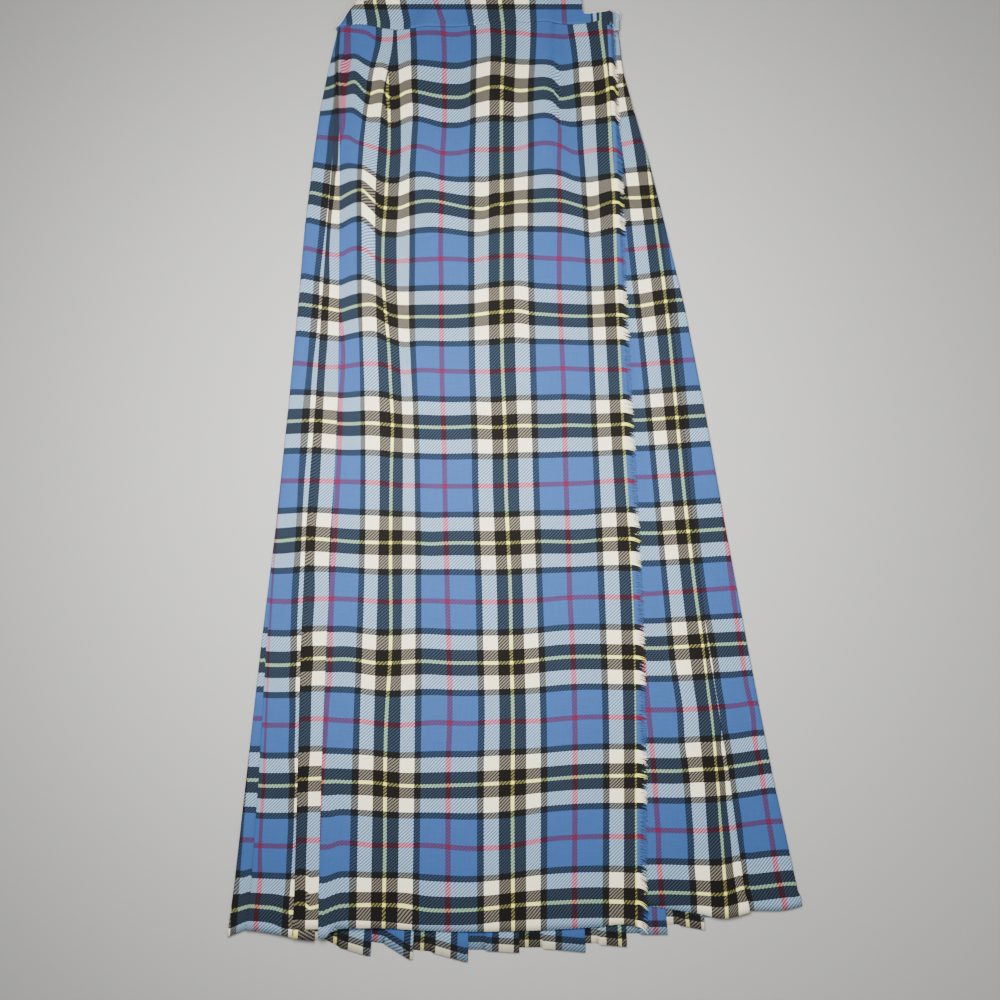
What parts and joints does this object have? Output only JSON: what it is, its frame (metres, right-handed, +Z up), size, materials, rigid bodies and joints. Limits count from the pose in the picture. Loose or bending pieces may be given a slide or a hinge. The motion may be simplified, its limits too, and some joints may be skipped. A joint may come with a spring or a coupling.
{
  "type": "long scottish kilt",
  "caption": "Long wrap kilt in checked wool, laid flat with its front up: fringed over apron, under apron, side pleats, knife-pleated back and waistband.",
  "frame": {"origin": "on the surface that the kilt lies on, under the middle of its box", "axes": "+X across the kilt to its fringed side, +Y from the hem to the waist, +Z up out of the front"},
  "size_m": [0.6361, 1.1212, 0.0196],
  "materials": {
    "wool_cloth": "twill-woven wool in a blue, white and black check with red and yellow lines",
    "wool_waistband": "the same twill-woven wool, folded double",
    "wool_fringe": "loose weft yarns at the cut edge of the cloth"
  },
  "bodies": {
    "root": {"over_apron": "wool_cloth", "apron_fringe": "wool_fringe", "under_apron": "wool_cloth", "left_pleats": "wool_cloth", "right_pleat": "wool_cloth", "back_pleats": "wool_cloth", "waistband": "wool_waistband"}
  },
  "joints": []
}
